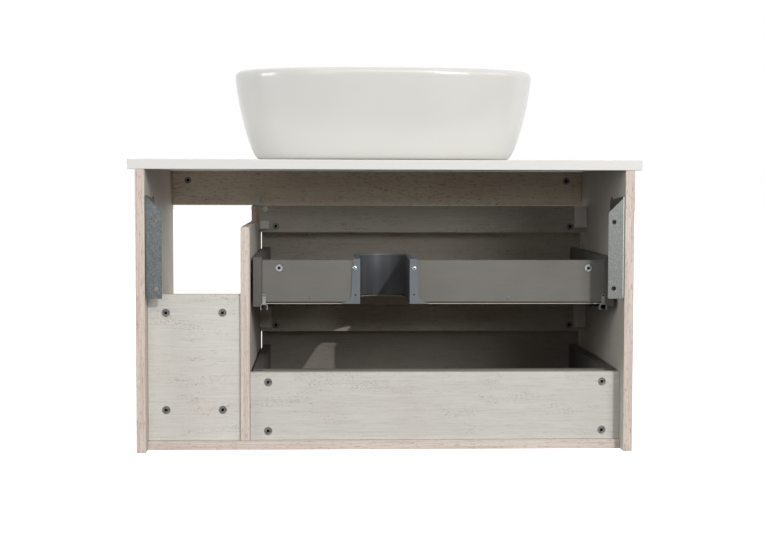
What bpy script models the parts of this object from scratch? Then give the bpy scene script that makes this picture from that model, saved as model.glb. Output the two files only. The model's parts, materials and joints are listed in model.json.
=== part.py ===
"""Wall-hung vanity with an open niche, two drawers and an oval vessel basin."""
import math

import bmesh
import bpy
from mathutils import Vector

# ---- driving dimensions (metres); front faces -Y, wall side +Y, floor of the part z = 0 ----
WIDTH = 0.800
HEIGHT = 0.455
DEPTH = 0.450
BOARD = 0.015
FRONT_BOARD = 0.018
GAP = 0.0003
BOARD_BEVEL = 0.0004

TOP_OVERHANG_SIDE = 0.012
TOP_OVERHANG_FRONT = 0.010
TOP_THICK = 0.016

NICHE_WIDTH = 0.150
BASE_REAR_INSET = 0.027
BACK_REAR_INSET = 0.033
NICHE_BACK_DROP = 0.2015
BACK_RAIL_DROP = 0.3292

FRONT_INSET = 0.004
TOP_RAIL_HEIGHT = 0.0645
CROSS_RAIL_REAR = 0.372
UPPER_CROSS_DROP = 0.0638
UPPER_CROSS_HEIGHT = 0.0495
LOWER_CROSS_DROP = 0.2486
LOWER_CROSS_HEIGHT = 0.0475
NOTCH_DROP = 0.0925
NOTCH_DEPTH = 0.385

BLOCK_WIDTH = 0.022
BLOCK_HEIGHT = 0.0395
BLOCK_DEPTH = 0.013
BLOCK_SLOPE = 0.004
SHORT_BLOCK_WIDTH = 0.018
SHORT_BLOCK_HEIGHT = 0.014
SHORT_BLOCK_DROP = 0.0930

CAM_R = 0.0063
CAM_LENGTH = 0.0117
CAM_POCKET_R = 0.0067
CAM_POCKET_DEPTH = 0.0123
CAM_END = 0.0290
CAM_CROSS_END = 0.0300
CAM_DRAWER_END = 0.0280
CAM_DRAWER_DROP = 0.0130
CAM_RAIL_UP = 0.0110
TOP_RAIL_CAM_DROP = 0.0182
NICHE_CAM_DROPS = (0.2318, 0.3902)
BACK_RAIL_CAM_DROPS = (0.3452, 0.4251)
CAM_CROSS = 0.0062
CAM_SLOT = 0.0013
CAM_SLOT_DEPTH = 0.0022

DRAWER_GAP_LEFT = 0.0061
DRAWER_GAP_RIGHT = 0.0038
DRAWER_BOARD = 0.0145
DRAWER_NOTCH = 0.0030
DRAWER_REAR = 0.056
DRAWER_SIDE_HEIGHT = 0.081
DRAWER_BACK_INSET = 0.0033
UPPER_BACK_DROP = 0.0045
LOWER_BACK_DROP = 0.0010
DRAWER_FRONT_GAP = 0.002
UPPER_BOX_DROP = 0.143
LOWER_BOX_DROP = 0.327
UPPER_FRONT = (0.095, 0.257)
LOWER_FRONT = (0.278, 0.437)
BOTTOM_THICK = 0.003
BOTTOM_DROP = 0.0735
GROOVE = 0.0065
GROOVE_FLOOR = 0.006

RECESS_HALF = 0.0405
RECESS_WALL = 0.002
RECESS_STEPS = 20
RECESS_REACH = 0.240
RECESS_FLANGE = 0.0115
RECESS_FLARE = 0.015
RECESS_DROP = 0.002
RECESS_FLANGE_FOOT = 0.0750
RECESS_LIP = 0.008
RECESS_SCREW_X = 0.0078
# drop below the box top, hole radius
RECESS_SCREWS = ((0.0160, 0.0017), (0.0610, 0.0012))

RUNNER_LENGTH = 0.350
RUNNER_BASE_DROP = 0.0882
RUNNER_PLATE = 0.022
RUNNER_SHEET = 0.0012
RUNNER_LIP = 0.0050
CHANNEL_HALF = 0.0058
CHANNEL_LIP = 0.0025
CHANNEL_LOW = 0.0017
INNER_CHANNEL_HALF = 0.0028
INNER_CHANNEL_HIGH = 0.0072
INNER_CHANNEL_SHEET = 0.0010
CHANNEL_INSET = 0.0035
FIXED_REAR = 0.150
RUNNER_FRONT = 0.410
MIDDLE_FRONT = 0.398
MEMBER_STEP = 0.004
TONGUE_WIDTH = 0.005
TONGUE_RISE = 0.0145

BRACKET_TOP_DROP = 0.041
BRACKET_HEIGHT = 0.1655
BRACKET_FLANGE = 0.0255
BRACKET_DEPTH = 0.122
BRACKET_SHEET = 0.002
BRACKET_HOLE_R = 0.0035
BRACKET_HOLE_X = 0.0175
BRACKET_HOLE_DROPS = (0.0828, 0.1900)
BRACKET_CORNER = 0.005
# distance from the wall, drop
BRACKET_SCREWS = ((0.112, 0.0750), (0.112, 0.1700), (0.030, 0.1200))
BRACKET_SCREW_R = 0.0024

BASIN_LENGTH = 0.512
BASIN_WIDTH = 0.332
BASIN_HEIGHT = 0.150
BASIN_X = -0.0024
# exponent of the oval: 2 is an ellipse, more is squarer
BASIN_SQUARENESS = 2.5
DRAIN_R = 0.0225
SEAL_HEIGHT = 0.0014
BASIN_SEGMENTS = 48
ROUND_SEGMENTS = 16

# drop below the rim, inset of the outer face
BASIN_OUTER = ((0.0, 0.0085), (0.0015, 0.0042), (0.0045, 0.0012), (0.0086, 0.0), (0.019, 0.0010),
               (0.034, 0.0030), (0.050, 0.0056), (0.071, 0.0099), (0.092, 0.0150), (0.1125, 0.0207),
               (0.1285, 0.0265), (0.140, 0.0318), (0.147, 0.0368), (0.150, 0.0420))
# drop below the rim, semi-axes of the bowl
BASIN_INNER = ((0.0015, 0.2440, 0.1540), (0.006, 0.2425, 0.1525), (0.029, 0.2385, 0.1485),
               (0.063, 0.2285, 0.1400), (0.092, 0.2110, 0.1250), (0.111, 0.1860, 0.1075),
               (0.1225, 0.1490, 0.0840), (0.1285, 0.0990, 0.0560), (0.1315, 0.0500, 0.0340))

# ---- derived ----
REAR_Y = (DEPTH + TOP_OVERHANG_FRONT) / 2
HALF = WIDTH / 2
INNER_RIGHT = HALF - BOARD
INNER_LEFT = -INNER_RIGHT
DIV_RIGHT = INNER_RIGHT - NICHE_WIDTH
DIV_LEFT = DIV_RIGHT - BOARD
TOP_Z = HEIGHT + GAP
BASIN_Z = TOP_Z + TOP_THICK + SEAL_HEIGHT + 2 * GAP
FRONT_REAR = DEPTH - FRONT_INSET - FRONT_BOARD
BOX_RIGHT = DIV_LEFT - DRAWER_GAP_RIGHT
BOX_LEFT = INNER_LEFT + DRAWER_GAP_LEFT


def back(distance):
    """World Y of a plane the given distance in front of the wall plane."""
    return REAR_Y - distance


def down(drop):
    """World Z of a level the given drop below the carcass top."""
    return HEIGHT - drop


def clear_scene():
    for item in list(bpy.data.objects):
        bpy.data.objects.remove(item, do_unlink=True)


def material(name, color, roughness, metallic=0.0, coat=0.0):
    mat = bpy.data.materials.new(name)
    mat.use_nodes = True
    shader = mat.node_tree.nodes["Principled BSDF"]
    shader.inputs["Base Color"].default_value = (*color, 1.0)
    shader.inputs["Roughness"].default_value = roughness
    shader.inputs["Metallic"].default_value = metallic
    shader.inputs["Coat Weight"].default_value = coat
    return mat


def ceramic(name):
    return material(name, (0.85, 0.85, 0.83), 0.12, coat=0.6)


def top_laminate(name):
    return material(name, (0.80, 0.80, 0.78), 0.45)


def carcass_laminate(name):
    return material(name, (0.58, 0.56, 0.52), 0.55)


def drawer_laminate(name):
    return material(name, (0.22, 0.21, 0.20), 0.60)


def fibreboard(name):
    return material(name, (0.20, 0.12, 0.07), 0.75)


def zinc(name):
    return material(name, (0.10, 0.10, 0.11), 0.45, metallic=0.9)


def nickel(name):
    return material(name, (0.62, 0.62, 0.60), 0.30, metallic=1.0)


def galvanised(name):
    return material(name, (0.52, 0.55, 0.57), 0.42, metallic=0.9)


def grey_plastic(name):
    return material(name, (0.24, 0.25, 0.26), 0.50)


def silicone(name):
    return material(name, (0.10, 0.10, 0.10), 0.60)


def finish_mesh(name, bm, make_material):
    """Turn a bmesh into a named object with outward faces and its own material."""
    bmesh.ops.recalc_face_normals(bm, faces=bm.faces)
    mesh = bpy.data.meshes.new(name)
    bm.to_mesh(mesh)
    bm.free()
    obj = bpy.data.objects.new(name, mesh)
    bpy.context.scene.collection.objects.link(obj)
    mesh.materials.append(make_material(name + "_finish"))
    return obj


def add_box(bm, low, high):
    corners = [Vector((x, y, z)) for x in (low[0], high[0]) for y in (low[1], high[1])
               for z in (low[2], high[2])]
    verts = [bm.verts.new(c) for c in corners]
    for quad in ((0, 1, 3, 2), (4, 6, 7, 5), (0, 4, 5, 1), (2, 3, 7, 6), (0, 2, 6, 4), (1, 5, 7, 3)):
        bm.faces.new([verts[i] for i in quad])


def add_prism(bm, outline, place):
    """Extrude a closed outline; place(point, end) gives the 3-D point at end 0 or 1."""
    near = [bm.verts.new(place(p, 0)) for p in outline]
    far = [bm.verts.new(place(p, 1)) for p in outline]
    bm.faces.new(near)
    bm.faces.new(list(reversed(far)))
    count = len(outline)
    for i in range(count):
        j = (i + 1) % count
        bm.faces.new([near[j], near[i], far[i], far[j]])


def add_rod(bm, x, z, y_rear, y_front, radius, segments=ROUND_SEGMENTS):
    """A rod lying along Y."""
    ring = [(x + radius * math.cos(a), z + radius * math.sin(a))
            for a in (2 * math.pi * (i + 0.5) / segments for i in range(segments))]
    add_prism(bm, ring, lambda p, end: (p[0], y_front if end else y_rear, p[1]))


def cut(obj, bm):
    """Subtract a bmesh from an object and remove the cutter."""
    bmesh.ops.recalc_face_normals(bm, faces=bm.faces)
    mesh = bpy.data.meshes.new("cutter")
    bm.to_mesh(mesh)
    bm.free()
    cutter = bpy.data.objects.new("cutter", mesh)
    cutter.hide_render = True
    cutter.display_type = "WIRE"
    bpy.context.scene.collection.objects.link(cutter)
    mod = obj.modifiers.new("cut", "BOOLEAN")
    mod.operation = "DIFFERENCE"
    mod.solver = "EXACT"
    mod.object = cutter
    apply_modifiers(obj)
    bpy.data.objects.remove(cutter, do_unlink=True)


def apply_modifiers(obj):
    graph = bpy.context.evaluated_depsgraph_get()
    mesh = bpy.data.meshes.new_from_object(obj.evaluated_get(graph))
    obj.modifiers.clear()
    old = obj.data
    obj.data = mesh
    mesh.name = old.name
    bpy.data.meshes.remove(old)


def bevel(obj, width=BOARD_BEVEL):
    mod = obj.modifiers.new("edge", "BEVEL")
    mod.width = width
    mod.segments = 1
    mod.limit_method = "ANGLE"
    mod.angle_limit = math.radians(40)
    apply_modifiers(obj)


def smooth(obj, angle=35):
    obj.data.shade_smooth()
    obj.data.set_sharp_from_angle(angle=math.radians(angle))


def board(name, x0, x1, near, far, drop0, drop1, make_material):
    """A bevelled board between two X planes, two wall distances and two drops."""
    bm = bmesh.new()
    add_box(bm, (x0, back(far), down(drop1)), (x1, back(near), down(drop0)))
    obj = finish_mesh(name, bm, make_material)
    bevel(obj)
    return obj


def drill_rear(obj, points, face, radius, depth):
    """Blind holes from a rear face at the given wall distance; points are (x, drop)."""
    bm = bmesh.new()
    for x, drop in points:
        add_rod(bm, x, down(drop), back(face - 0.002), back(face + depth), radius)
    cut(obj, bm)


def make_cam(name, x, drop, face, make_material):
    """Round cam fitting with a diagonal cross recess, flush with a rear face."""
    bm = bmesh.new()
    add_rod(bm, x, down(drop), back(face), back(face + CAM_LENGTH), CAM_R)
    obj = finish_mesh(name, bm, make_material)
    arm = CAM_CROSS / 2
    slot = CAM_SLOT / 2
    outline = ((-arm, -slot), (-slot, -slot), (-slot, -arm), (slot, -arm), (slot, -slot), (arm, -slot),
               (arm, slot), (slot, slot), (slot, arm), (-slot, arm), (-slot, slot), (-arm, slot))
    turned = [(x + (u - w) * math.sqrt(0.5), down(drop) + (u + w) * math.sqrt(0.5)) for u, w in outline]
    bm = bmesh.new()
    add_prism(bm, turned,
              lambda p, end: (p[0], back(face + CAM_SLOT_DEPTH) if end else back(face - 0.001), p[1]))
    cut(obj, bm)
    smooth(obj)


def fit_cams(obj, stem, ends, drops, face, make_material):
    """Drill pockets at both ends of a board and put a cam in each."""
    drill_rear(obj, [(x, drop) for x in ends for drop in drops], face, CAM_POCKET_R, CAM_POCKET_DEPTH)
    levels = ("",) if len(drops) == 1 else ("_top", "_bottom")
    for side, x in zip(("_left", "_right"), ends):
        for level, drop in zip(levels, drops):
            make_cam("cam_" + stem + side + level, x, drop, face, make_material)


def fitted_board(name, x0, x1, face, drop0, drop1, cam_end, cam_drops, thick=BOARD):
    """A board whose rear face carries flush cam fittings near both ends."""
    obj = board(name, x0, x1, face, face + thick, drop0, drop1, carcass_laminate)
    fit_cams(obj, name, (x0 + cam_end, x1 - cam_end), cam_drops, face, zinc)
    return obj


# ---- sink and top ----
def stretched(value, power):
    return math.copysign(abs(value) ** power, value)


def oval(bm, half_x, half_y, z, squareness=BASIN_SQUARENESS):
    power = 2 / squareness
    turns = [2 * math.pi * i / BASIN_SEGMENTS for i in range(BASIN_SEGMENTS)]
    return [bm.verts.new((BASIN_X + half_x * stretched(math.cos(a), power),
                          half_y * stretched(math.sin(a), power), z)) for a in turns]


def bridge(bm, loops):
    for low, high in zip(loops, loops[1:]):
        for i in range(BASIN_SEGMENTS):
            j = (i + 1) % BASIN_SEGMENTS
            bm.faces.new([low[i], low[j], high[j], high[i]])


def make_basin():
    bm = bmesh.new()
    rim_z = BASIN_Z + BASIN_HEIGHT
    half_x = BASIN_LENGTH / 2
    half_y = BASIN_WIDTH / 2
    loops = [oval(bm, DRAIN_R, DRAIN_R, BASIN_Z, 2)]
    for drop, inset in reversed(BASIN_OUTER):
        loops.append(oval(bm, half_x - inset, half_y - inset, rim_z - drop))
    for drop, inner_x, inner_y in BASIN_INNER:
        loops.append(oval(bm, inner_x, inner_y, rim_z - drop))
    loops.append(oval(bm, DRAIN_R, DRAIN_R, rim_z - BASIN_INNER[-1][0] - 0.002, 2))
    bridge(bm, loops + [loops[0]])
    obj = finish_mesh("basin", bm, ceramic)
    smooth(obj, 50)


def make_seal():
    bm = bmesh.new()
    outer = BASIN_OUTER[-1][1] + 0.002
    inner = outer + 0.008
    low = BASIN_Z - GAP - SEAL_HEIGHT
    high = BASIN_Z - GAP
    loops = []
    for inset, z in ((outer, low), (outer, high), (inner, high), (inner, low)):
        loops.append(oval(bm, BASIN_LENGTH / 2 - inset, BASIN_WIDTH / 2 - inset, z))
    bridge(bm, loops + [loops[0]])
    obj = finish_mesh("basin_seal", bm, silicone)
    smooth(obj)


def make_countertop():
    bm = bmesh.new()
    half = HALF + TOP_OVERHANG_SIDE
    add_box(bm, (-half, back(DEPTH + TOP_OVERHANG_FRONT), TOP_Z), (half, back(0), TOP_Z + TOP_THICK))
    obj = finish_mesh("countertop", bm, top_laminate)
    bevel(obj, 0.0006)
    bm = bmesh.new()
    ring = [(BASIN_X + DRAIN_R * math.cos(2 * math.pi * i / 24), DRAIN_R * math.sin(2 * math.pi * i / 24))
            for i in range(24)]
    add_prism(bm, ring, lambda p, end: (p[0], p[1], TOP_Z + (TOP_THICK + 0.01 if end else -0.01)))
    cut(obj, bm)
    smooth(obj)


# ---- carcass ----
def make_sides():
    board("side_left", -HALF, INNER_LEFT, 0, DEPTH, 0, HEIGHT, carcass_laminate)
    board("side_right", INNER_RIGHT, HALF, 0, DEPTH, 0, HEIGHT, carcass_laminate)


def make_base():
    board("base_panel", INNER_LEFT + GAP, INNER_RIGHT - GAP, BASE_REAR_INSET, DEPTH,
          HEIGHT - BOARD, HEIGHT, carcass_laminate)


def make_divider():
    """Upright with its top rear corner cut away; it stands on the base and stops under the top rail."""
    floor = HEIGHT - BOARD - GAP
    top = TOP_RAIL_HEIGHT + GAP
    outline = ((BASE_REAR_INSET, floor), (BASE_REAR_INSET, NOTCH_DROP), (NOTCH_DEPTH, NOTCH_DROP),
               (NOTCH_DEPTH, top), (DEPTH, top), (DEPTH, floor))
    bm = bmesh.new()
    add_prism(bm, outline,
              lambda p, end: (DIV_RIGHT if end else DIV_LEFT, back(p[0]), down(p[1])))
    bevel(finish_mesh("divider", bm, carcass_laminate))


def make_top_rail():
    fitted_board("top_rail", INNER_LEFT + GAP, INNER_RIGHT - GAP, FRONT_REAR, 0, TOP_RAIL_HEIGHT,
                 CAM_END, (TOP_RAIL_CAM_DROP,), FRONT_BOARD)


def make_cross_rails():
    x0 = INNER_LEFT + GAP
    x1 = DIV_LEFT - GAP
    for name, drop, height in (("upper_cross", UPPER_CROSS_DROP, UPPER_CROSS_HEIGHT),
                               ("lower_cross", LOWER_CROSS_DROP, LOWER_CROSS_HEIGHT)):
        foot = drop + height
        fitted_board(name + "_rail", x0, x1, CROSS_RAIL_REAR, drop, foot, CAM_CROSS_END,
                     (foot - CAM_RAIL_UP,))
        corner_block(name + "_block_left", x0 + GAP, 1, drop, BLOCK_WIDTH, BLOCK_HEIGHT)
    x1 -= GAP
    corner_block("upper_cross_block_right", x1, -1, SHORT_BLOCK_DROP, SHORT_BLOCK_WIDTH, SHORT_BLOCK_HEIGHT)
    corner_block("lower_cross_block_right", x1, -1, LOWER_CROSS_DROP, BLOCK_WIDTH, BLOCK_HEIGHT)


def corner_block(name, wall, turn, drop, width, height):
    """Moulded corner connector behind the end of a cross rail, with a sloped inner edge."""
    face = CROSS_RAIL_REAR - GAP
    rear = face - BLOCK_DEPTH
    slope = BLOCK_SLOPE
    outline = ((0, face), (0, rear), (width - slope, rear), (width, rear + slope), (width, face))
    bm = bmesh.new()
    add_prism(bm, outline, lambda p, end: (wall + turn * p[0], back(p[1]),
                                           down(drop + (height if end else 0))))
    bevel(finish_mesh(name, bm, grey_plastic), 0.0006)


def make_divider_connector():
    width = 0.0070
    centre = (DIV_LEFT + DIV_RIGHT) / 2
    face = FRONT_REAR - GAP
    foot = TOP_RAIL_HEIGHT
    outline = ((face, foot), (face, foot - 0.0165), (face - 0.006, foot - 0.0165),
               (face - 0.014, foot - 0.007), (face - 0.014, foot))
    bm = bmesh.new()
    add_prism(bm, outline, lambda p, end: (centre + (width if end else -width), back(p[0]), down(p[1])))
    bevel(finish_mesh("divider_connector", bm, grey_plastic), 0.0006)


def make_backs():
    floor = HEIGHT - BOARD - GAP
    fitted_board("niche_back", DIV_RIGHT + GAP, INNER_RIGHT - GAP, BACK_REAR_INSET, NICHE_BACK_DROP,
                 floor, CAM_END, NICHE_CAM_DROPS)
    fitted_board("back_rail", INNER_LEFT + GAP, DIV_LEFT - GAP, BACK_REAR_INSET, BACK_RAIL_DROP,
                 floor, CAM_END, BACK_RAIL_CAM_DROPS)


# ---- wall brackets ----
def make_bracket(name, wall, turn):
    """Angle bracket on a side panel's inner face; its rear leaf lies in the wall plane."""
    leaf = BRACKET_FLANGE
    top = BRACKET_TOP_DROP
    foot = top + BRACKET_HEIGHT
    corner = [(leaf - BRACKET_CORNER + BRACKET_CORNER * math.cos(a),
               foot - BRACKET_CORNER + BRACKET_CORNER * math.sin(a))
              for a in (math.radians(22.5 * i) for i in range(5))]
    rear = [(GAP, top), (leaf, top + leaf)] + corner + [(GAP, foot)]
    bm = bmesh.new()
    add_prism(bm, rear, lambda p, end: (wall + turn * p[0], back(BRACKET_SHEET if end else 0), down(p[1])))
    obj = finish_mesh(name, bm, galvanised)
    bm = bmesh.new()
    side_foot = NICHE_BACK_DROP - 0.002
    near = BRACKET_DEPTH
    side = ((BRACKET_SHEET / 2, top), (near - 0.012, top), (near, top + 0.012), (near, side_foot - 0.012),
            (near - 0.012, side_foot), (BRACKET_SHEET / 2, side_foot))
    add_prism(bm, side, lambda p, end: (wall + turn * (GAP + (BRACKET_SHEET if end else 0)),
                                        back(p[0]), down(p[1])))
    join(obj, bm)
    bm = bmesh.new()
    for drop in BRACKET_HOLE_DROPS:
        add_rod(bm, wall + turn * BRACKET_HOLE_X, down(drop), back(-0.002), back(0.006), BRACKET_HOLE_R)
    cut(obj, bm)
    bm = bmesh.new()
    for near, drop in BRACKET_SCREWS:
        add_cross_rod(bm, wall - turn * 0.002, wall + turn * 0.006, back(near), down(drop), BRACKET_SCREW_R)
    cut(obj, bm)
    smooth(obj)


def join(obj, bm):
    """Unite a bmesh with an object."""
    bmesh.ops.recalc_face_normals(bm, faces=bm.faces)
    mesh = bpy.data.meshes.new("adder")
    bm.to_mesh(mesh)
    bm.free()
    adder = bpy.data.objects.new("adder", mesh)
    adder.hide_render = True
    adder.display_type = "WIRE"
    bpy.context.scene.collection.objects.link(adder)
    mod = obj.modifiers.new("join", "BOOLEAN")
    mod.operation = "UNION"
    mod.solver = "EXACT"
    mod.object = adder
    apply_modifiers(obj)
    bpy.data.objects.remove(adder, do_unlink=True)


def add_cross_rod(bm, x0, x1, y, z, radius, segments=12):
    """A rod lying along X."""
    ring = [(y + radius * math.cos(a), z + radius * math.sin(a))
            for a in (2 * math.pi * i / segments for i in range(segments))]
    add_prism(bm, ring, lambda p, end: (x1 if end else x0, p[0], p[1]))


# ---- drawers ----
def make_drawer(prefix, box_drop, back_drop, front, recess):
    foot = box_drop + DRAWER_SIDE_HEIGHT
    groove_top = box_drop + BOTTOM_DROP - GAP
    groove_foot = box_drop + BOTTOM_DROP + BOTTOM_THICK + GAP
    near = DRAWER_REAR + DRAWER_BACK_INSET - GAP
    for name, outer, turn in (("_side_left", BOX_LEFT, 1), ("_side_right", BOX_RIGHT, -1)):
        inner = outer + turn * DRAWER_BOARD
        low, high = sorted((outer, inner))
        obj = board(prefix + name, low, high, DRAWER_REAR, FRONT_REAR - GAP, box_drop, foot,
                    drawer_laminate)
        side_channel(obj, inner, turn, GROOVE, near, groove_top, groove_foot)
        side_channel(obj, inner, turn, DRAWER_NOTCH, 0, groove_foot - GAP, foot + 0.002)
    make_drawer_front(prefix, front, groove_top, groove_foot)
    make_drawer_bottom(prefix, box_drop + BOTTOM_DROP, recess)
    make_drawer_back(prefix, box_drop, back_drop, recess)


def side_channel(obj, inner, turn, depth, near, drop0, drop1):
    """Cut a groove or rebate along a drawer side's inner face."""
    low, high = sorted((inner - turn * depth, inner + turn * 0.002))
    bm = bmesh.new()
    add_box(bm, (low, back(FRONT_REAR + 0.002), down(drop1)), (high, back(near), down(drop0)))
    cut(obj, bm)


def make_drawer_front(prefix, front, groove_top, groove_foot):
    obj = board(prefix + "_front", INNER_LEFT + DRAWER_FRONT_GAP, DIV_LEFT - DRAWER_FRONT_GAP,
                FRONT_REAR, FRONT_REAR + FRONT_BOARD, front[0], front[1], carcass_laminate)
    bm = bmesh.new()
    add_box(bm, (BOX_LEFT + DRAWER_BOARD - GROOVE, back(FRONT_REAR + GROOVE), down(groove_foot)),
            (BOX_RIGHT - DRAWER_BOARD + GROOVE, back(FRONT_REAR - 0.002), down(groove_top)))
    cut(obj, bm)


def make_drawer_bottom(prefix, drop, recess):
    x0 = BOX_LEFT + DRAWER_BOARD - GROOVE_FLOOR
    x1 = BOX_RIGHT - DRAWER_BOARD + GROOVE_FLOOR
    near = DRAWER_REAR + DRAWER_BACK_INSET
    bm = bmesh.new()
    add_box(bm, (x0, back(FRONT_REAR + GROOVE_FLOOR), down(drop + BOTTOM_THICK)),
            (x1, back(near), down(drop)))
    obj = finish_mesh(prefix + "_bottom", bm, fibreboard)
    if recess:
        bm = bmesh.new()
        slot = [(RECESS_HALF, near - 0.010)] + arc(RECESS_HALF) + [(-RECESS_HALF, near - 0.010)]
        add_prism(bm, slot, lambda p, end: (p[0], back(p[1]), down(drop + (0.010 if end else -0.005))))
        cut(obj, bm)


def arc(radius):
    """Half circle at the front end of the siphon recess."""
    centre = RECESS_REACH - RECESS_HALF - RECESS_WALL
    turns = [math.pi * i / RECESS_STEPS for i in range(RECESS_STEPS + 1)]
    return [(radius * math.cos(a), centre + radius * math.sin(a)) for a in turns]


def make_drawer_back(prefix, box_drop, back_drop, recess):
    x0 = BOX_LEFT + DRAWER_BOARD + GAP
    x1 = BOX_RIGHT - DRAWER_BOARD - GAP
    face = DRAWER_REAR + DRAWER_BACK_INSET
    top = box_drop + back_drop
    foot = box_drop + BOTTOM_DROP - GAP
    spans = {"_back": (x0, x1)}
    if recess:
        reach = RECESS_HALF + RECESS_WALL + GAP
        spans = {"_back_left": (x0, -reach), "_back_right": (reach, x1)}
    for name, (low, high) in spans.items():
        board(prefix + name, low, high, face, face + DRAWER_BOARD, top, foot, drawer_laminate)
    if recess:
        for side, x in (("left", x0 + CAM_DRAWER_END), ("right", x1 - CAM_DRAWER_END)):
            drop = top + CAM_DRAWER_DROP
            drill_rear(bpy.data.objects[prefix + "_back_" + side], [(x, drop)], face, CAM_POCKET_R,
                       CAM_POCKET_DEPTH)
            make_cam("cam_" + prefix + "_" + side, x, drop, face, nickel)
        make_recess(prefix, box_drop, face)


def horseshoe(inner, outer, rear):
    """Outline of the band between two U curves that open at the rear."""
    outside = [(outer, rear)] + arc(outer) + [(-outer, rear)]
    return outside + [(-inner, rear)] + arc(inner)[::-1] + [(inner, rear)]


def make_recess(prefix, box_drop, face):
    """U-shaped liner with a top lip and two screwed flanges, which leaves room for the waste trap."""
    top = box_drop + RECESS_DROP
    foot = box_drop + BOTTOM_DROP - GAP
    inner = RECESS_HALF
    outer = RECESS_HALF + RECESS_WALL
    rear = face - GAP - RECESS_WALL
    bm = bmesh.new()
    add_prism(bm, horseshoe(inner, outer, rear),
              lambda p, end: (p[0], back(p[1]), down(foot if end else top)))
    obj = finish_mesh(prefix + "_recess", bm, grey_plastic)
    bm = bmesh.new()
    lip = horseshoe(inner + RECESS_WALL / 2, outer + RECESS_LIP, rear + RECESS_WALL / 2)
    add_prism(bm, lip, lambda p, end: (p[0], back(p[1]), down(top + (RECESS_WALL if end else 0))))
    join(obj, bm)
    edge = inner + RECESS_FLANGE + RECESS_WALL / 2
    flare = RECESS_FLARE
    flange_foot = box_drop + RECESS_FLANGE_FOOT
    curve = [(edge + flare - flare * math.cos(math.radians(15 * i)),
              flange_foot - 0.002 - flare + flare * math.sin(math.radians(15 * i))) for i in range(7)]
    for turn in (1, -1):
        plate = [(inner, top), (edge, top)] + curve + [(edge + flare, flange_foot), (inner, flange_foot)]
        bm = bmesh.new()
        add_prism(bm, plate, lambda p, end: (turn * p[0], back(rear + (RECESS_WALL if end else 0)),
                                             down(p[1])))
        join(obj, bm)
    bm = bmesh.new()
    for turn in (1, -1):
        for drop, radius in RECESS_SCREWS:
            add_rod(bm, turn * (inner + RECESS_SCREW_X), down(box_drop + drop), back(rear - 0.002),
                    back(rear + RECESS_WALL + 0.0002), radius, 12)
    cut(obj, bm)
    smooth(obj)


# ---- runners ----
def runner_prism(bm, wall, turn, base_drop, outline, near, far):
    """Extrude a section given as (distance from bay wall, height above runner base)."""
    add_prism(bm, outline, lambda p, end: (wall + turn * p[0], back(far if end else near),
                                           down(base_drop - p[1])))


def hat(inner, outer, low, high, sheet):
    """Section of an upside-down channel."""
    return ((inner, low), (inner, high), (outer, high), (outer, low), (outer - sheet, low),
            (outer - sheet, high - sheet), (inner + sheet, high - sheet), (inner + sheet, low))


def lipped_hat(inner, outer, low, high, sheet, lip):
    """The same with its lower edges turned inwards."""
    shelf = low + sheet
    return ((inner, low), (inner, high), (outer, high), (outer, low), (outer - lip, low),
            (outer - lip, shelf), (outer - sheet, shelf), (outer - sheet, high - sheet),
            (inner + sheet, high - sheet),
            (inner + sheet, shelf), (inner + lip, shelf), (inner + lip, low))


def make_runner(prefix, side, wall, turn, side_gap, box_drop):
    """Under-drawer runner: member fixed to the bay wall, middle member, member under the drawer."""
    base = box_drop + RUNNER_BASE_DROP
    sheet = RUNNER_SHEET
    inside = side_gap + DRAWER_BOARD
    middle = inside + CHANNEL_INSET
    foot = middle + CHANNEL_HALF
    lip = 0.0006
    fixed = ((GAP, 0), (foot, 0), (foot, sheet), (middle + lip, sheet), (middle + lip, RUNNER_LIP),
             (middle - lip, RUNNER_LIP), (middle - lip, sheet), (GAP + sheet, sheet),
             (GAP + sheet, RUNNER_PLATE), (GAP, RUNNER_PLATE))
    channel = hat(middle - INNER_CHANNEL_HALF, middle + INNER_CHANNEL_HALF, CHANNEL_LOW, INNER_CHANNEL_HIGH,
                  INNER_CHANNEL_SHEET)
    for name, outline, near, far in (("_fixed", fixed, FIXED_REAR, RUNNER_FRONT),
                                     ("_middle", channel, FIXED_REAR + MEMBER_STEP, MIDDLE_FRONT)):
        bm = bmesh.new()
        runner_prism(bm, wall, turn, base, outline, near, far)
        finish_mesh(prefix + "_runner_" + side + name, bm, galvanised)
    make_drawer_member(prefix + "_runner_" + side + "_drawer", base, wall, turn, middle,
                       RUNNER_BASE_DROP - BOTTOM_DROP - BOTTOM_THICK)


def make_drawer_member(name, base, wall, turn, centre, low):
    """Channel under the drawer with a rear tongue that holds the drawer back."""
    rear = DRAWER_REAR + DRAWER_BACK_INSET - GAP - RUNNER_SHEET
    crown = low - GAP
    section = lipped_hat(centre - CHANNEL_HALF, centre + CHANNEL_HALF, CHANNEL_LOW, crown, RUNNER_SHEET,
                         CHANNEL_LIP)
    bm = bmesh.new()
    runner_prism(bm, wall, turn, base, section, rear, rear + RUNNER_LENGTH)
    obj = finish_mesh(name, bm, galvanised)
    half = TONGUE_WIDTH / 2
    tip = low + TONGUE_RISE
    tongue = ((centre - half, crown - RUNNER_SHEET / 2), (centre + half, crown - RUNNER_SHEET / 2),
              (centre + half, tip - half), (centre + half / 2, tip), (centre - half / 2, tip),
              (centre - half, tip - half))
    bm = bmesh.new()
    runner_prism(bm, wall, turn, base, tongue, rear, rear + RUNNER_SHEET)
    join(obj, bm)


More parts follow.
